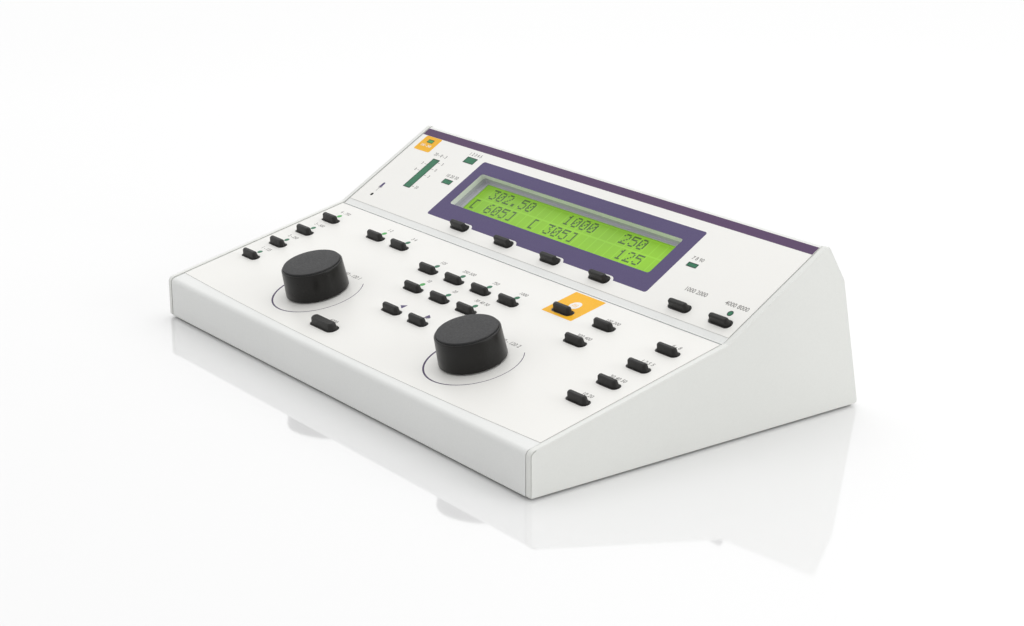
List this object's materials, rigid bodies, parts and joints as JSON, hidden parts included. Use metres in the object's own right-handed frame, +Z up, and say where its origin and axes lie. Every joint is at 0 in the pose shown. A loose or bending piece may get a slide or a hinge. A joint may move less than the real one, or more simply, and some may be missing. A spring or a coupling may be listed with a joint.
{
  "type": "diagnostic audiometer",
  "caption": "Desk-top diagnostic audiometer with a wedge-shaped moulded case, rotary level knobs, obround push keys, a character display and sockets along its rear wall.",
  "frame": {"origin": "centre of the bounding box at the underside of the feet", "axes": "+X along the width to the operator's right, +Y from the operator to the rear, +Z up"},
  "size_m": [0.368, 0.2236, 0.0942],
  "materials": {
    "case_moulding": "fine spark-eroded texture",
    "cheek_moulding": "fine spark-eroded texture",
    "base_sheet": "fine texture",
    "foot_rubber": "matt",
    "overlay_film": "fine velvet polyester",
    "display_bezel": "satin",
    "display_glass": "polished over a green backlight",
    "circuit_board": "satin solder resist",
    "switch_body": "matt",
    "light_lens": "diffusing",
    "capsule_metal": "drawn",
    "encoder_metal": "machined",
    "knob_plastic": "satin gloss",
    "knob_disc": "matt",
    "socket_plastic": "moulded",
    "socket_shell": "plated",
    "key_rubber": "satin"
  },
  "bodies": {
    "case": {"front_cover": "case_moulding", "upper_cover": "case_moulding", "rear_panel": "case_moulding", "left_cheek": "cheek_moulding", "right_cheek": "cheek_moulding", "base_plate": "base_sheet", "feet": "foot_rubber", "lower_overlay": "overlay_film", "upper_overlay": "overlay_film", "display_frame": "display_bezel", "display_glass": "display_glass", "display_board": "circuit_board", "key_board": "circuit_board", "upper_board": "circuit_board", "main_board": "circuit_board", "lower_switches": "switch_body", "upper_switches": "switch_body", "indicator_lights": "light_lens", "microphone": "capsule_metal", "encoders": "encoder_metal", "jack_sockets": "socket_plastic", "power_inlet": "socket_plastic", "data_socket": "socket_shell"},
    "left_knob_turn": {"left_knob": "knob_plastic", "left_knob_disc": "knob_disc", "left_shaft": "encoder_metal"},
    "right_knob_turn": {"right_knob": "knob_plastic", "right_knob_disc": "knob_disc", "right_shaft": "encoder_metal"},
    "left_key_1_push": {"left_key_1": "key_rubber"},
    "left_key_2_push": {"left_key_2": "key_rubber"},
    "left_key_3_push": {"left_key_3": "key_rubber"},
    "left_key_4_push": {"left_key_4": "key_rubber"},
    "pair_key_1_push": {"pair_key_1": "key_rubber"},
    "pair_key_2_push": {"pair_key_2": "key_rubber"},
    "group_top_key_1_push": {"group_top_key_1": "key_rubber"},
    "group_top_key_2_push": {"group_top_key_2": "key_rubber"},
    "group_top_key_3_push": {"group_top_key_3": "key_rubber"},
    "group_top_key_4_push": {"group_top_key_4": "key_rubber"},
    "group_middle_key_1_push": {"group_middle_key_1": "key_rubber"},
    "group_middle_key_2_push": {"group_middle_key_2": "key_rubber"},
    "group_middle_key_3_push": {"group_middle_key_3": "key_rubber"},
    "arrow_key_1_push": {"arrow_key_1": "key_rubber"},
    "arrow_key_2_push": {"arrow_key_2": "key_rubber"},
    "large_key_push": {"large_key": "key_rubber"},
    "patch_key_push": {"patch_key": "key_rubber"},
    "menu_key_1_push": {"menu_key_1": "key_rubber"},
    "menu_key_2_push": {"menu_key_2": "key_rubber"},
    "right_key_1_push": {"right_key_1": "key_rubber"},
    "right_key_2_push": {"right_key_2": "key_rubber"},
    "right_key_3_push": {"right_key_3": "key_rubber"},
    "right_key_4_push": {"right_key_4": "key_rubber"},
    "soft_key_1_push": {"soft_key_1": "key_rubber"},
    "soft_key_2_push": {"soft_key_2": "key_rubber"},
    "soft_key_3_push": {"soft_key_3": "key_rubber"},
    "soft_key_4_push": {"soft_key_4": "key_rubber"},
    "talk_key_1_push": {"talk_key_1": "key_rubber"},
    "talk_key_2_push": {"talk_key_2": "key_rubber"}
  },
  "joints": [
    {"name": "left_knob_spin", "type": "hinge", "parent": "case", "child": "left_knob_turn", "pos_m": [-0.078, -0.06889, 0.03485], "axis": [0, -0.2207, 0.9753], "continuous": true},
    {"name": "right_knob_spin", "type": "hinge", "parent": "case", "child": "right_knob_turn", "pos_m": [0.078, -0.06889, 0.03485], "axis": [0, -0.2207, 0.9753], "continuous": true},
    {"name": "left_key_1_travel", "type": "slide", "parent": "case", "child": "left_key_1_push", "axis": [0, 0.2207, -0.9753], "range_m": [0, 0.001], "stiffness_N_per_m": 700},
    {"name": "left_key_2_travel", "type": "slide", "parent": "case", "child": "left_key_2_push", "axis": [0, 0.2207, -0.9753], "range_m": [0, 0.001], "stiffness_N_per_m": 700},
    {"name": "left_key_3_travel", "type": "slide", "parent": "case", "child": "left_key_3_push", "axis": [0, 0.2207, -0.9753], "range_m": [0, 0.001], "stiffness_N_per_m": 700},
    {"name": "left_key_4_travel", "type": "slide", "parent": "case", "child": "left_key_4_push", "axis": [0, 0.2207, -0.9753], "range_m": [0, 0.001], "stiffness_N_per_m": 700},
    {"name": "pair_key_1_travel", "type": "slide", "parent": "case", "child": "pair_key_1_push", "axis": [0, 0.2207, -0.9753], "range_m": [0, 0.001], "stiffness_N_per_m": 700},
    {"name": "pair_key_2_travel", "type": "slide", "parent": "case", "child": "pair_key_2_push", "axis": [0, 0.2207, -0.9753], "range_m": [0, 0.001], "stiffness_N_per_m": 700},
    {"name": "group_top_key_1_travel", "type": "slide", "parent": "case", "child": "group_top_key_1_push", "axis": [0, 0.2207, -0.9753], "range_m": [0, 0.001], "stiffness_N_per_m": 700},
    {"name": "group_top_key_2_travel", "type": "slide", "parent": "case", "child": "group_top_key_2_push", "axis": [0, 0.2207, -0.9753], "range_m": [0, 0.001], "stiffness_N_per_m": 700},
    {"name": "group_top_key_3_travel", "type": "slide", "parent": "case", "child": "group_top_key_3_push", "axis": [0, 0.2207, -0.9753], "range_m": [0, 0.001], "stiffness_N_per_m": 700},
    {"name": "group_top_key_4_travel", "type": "slide", "parent": "case", "child": "group_top_key_4_push", "axis": [0, 0.2207, -0.9753], "range_m": [0, 0.001], "stiffness_N_per_m": 700},
    {"name": "group_middle_key_1_travel", "type": "slide", "parent": "case", "child": "group_middle_key_1_push", "axis": [0, 0.2207, -0.9753], "range_m": [0, 0.001], "stiffness_N_per_m": 700},
    {"name": "group_middle_key_2_travel", "type": "slide", "parent": "case", "child": "group_middle_key_2_push", "axis": [0, 0.2207, -0.9753], "range_m": [0, 0.001], "stiffness_N_per_m": 700},
    {"name": "group_middle_key_3_travel", "type": "slide", "parent": "case", "child": "group_middle_key_3_push", "axis": [0, 0.2207, -0.9753], "range_m": [0, 0.001], "stiffness_N_per_m": 700},
    {"name": "arrow_key_1_travel", "type": "slide", "parent": "case", "child": "arrow_key_1_push", "axis": [0, 0.2207, -0.9753], "range_m": [0, 0.001], "stiffness_N_per_m": 700},
    {"name": "arrow_key_2_travel", "type": "slide", "parent": "case", "child": "arrow_key_2_push", "axis": [0, 0.2207, -0.9753], "range_m": [0, 0.001], "stiffness_N_per_m": 700},
    {"name": "large_key_travel", "type": "slide", "parent": "case", "child": "large_key_push", "axis": [0, 0.2207, -0.9753], "range_m": [0, 0.001], "stiffness_N_per_m": 700},
    {"name": "patch_key_travel", "type": "slide", "parent": "case", "child": "patch_key_push", "axis": [0, 0.2207, -0.9753], "range_m": [0, 0.001], "stiffness_N_per_m": 700},
    {"name": "menu_key_1_travel", "type": "slide", "parent": "case", "child": "menu_key_1_push", "axis": [0, 0.2207, -0.9753], "range_m": [0, 0.001], "stiffness_N_per_m": 700},
    {"name": "menu_key_2_travel", "type": "slide", "parent": "case", "child": "menu_key_2_push", "axis": [0, 0.2207, -0.9753], "range_m": [0, 0.001], "stiffness_N_per_m": 700},
    {"name": "right_key_1_travel", "type": "slide", "parent": "case", "child": "right_key_1_push", "axis": [0, 0.2207, -0.9753], "range_m": [0, 0.001], "stiffness_N_per_m": 700},
    {"name": "right_key_2_travel", "type": "slide", "parent": "case", "child": "right_key_2_push", "axis": [0, 0.2207, -0.9753], "range_m": [0, 0.001], "stiffness_N_per_m": 700},
    {"name": "right_key_3_travel", "type": "slide", "parent": "case", "child": "right_key_3_push", "axis": [0, 0.2207, -0.9753], "range_m": [0, 0.001], "stiffness_N_per_m": 700},
    {"name": "right_key_4_travel", "type": "slide", "parent": "case", "child": "right_key_4_push", "axis": [0, 0.2207, -0.9753], "range_m": [0, 0.001], "stiffness_N_per_m": 700},
    {"name": "soft_key_1_travel", "type": "slide", "parent": "case", "child": "soft_key_1_push", "axis": [0, 0.5075, -0.8616], "range_m": [0, 0.001], "stiffness_N_per_m": 700},
    {"name": "soft_key_2_travel", "type": "slide", "parent": "case", "child": "soft_key_2_push", "axis": [0, 0.5075, -0.8616], "range_m": [0, 0.001], "stiffness_N_per_m": 700},
    {"name": "soft_key_3_travel", "type": "slide", "parent": "case", "child": "soft_key_3_push", "axis": [0, 0.5075, -0.8616], "range_m": [0, 0.001], "stiffness_N_per_m": 700},
    {"name": "soft_key_4_travel", "type": "slide", "parent": "case", "child": "soft_key_4_push", "axis": [0, 0.5075, -0.8616], "range_m": [0, 0.001], "stiffness_N_per_m": 700},
    {"name": "talk_key_1_travel", "type": "slide", "parent": "case", "child": "talk_key_1_push", "axis": [0, 0.5075, -0.8616], "range_m": [0, 0.001], "stiffness_N_per_m": 700},
    {"name": "talk_key_2_travel", "type": "slide", "parent": "case", "child": "talk_key_2_push", "axis": [0, 0.5075, -0.8616], "range_m": [0, 0.001], "stiffness_N_per_m": 700}
  ]
}
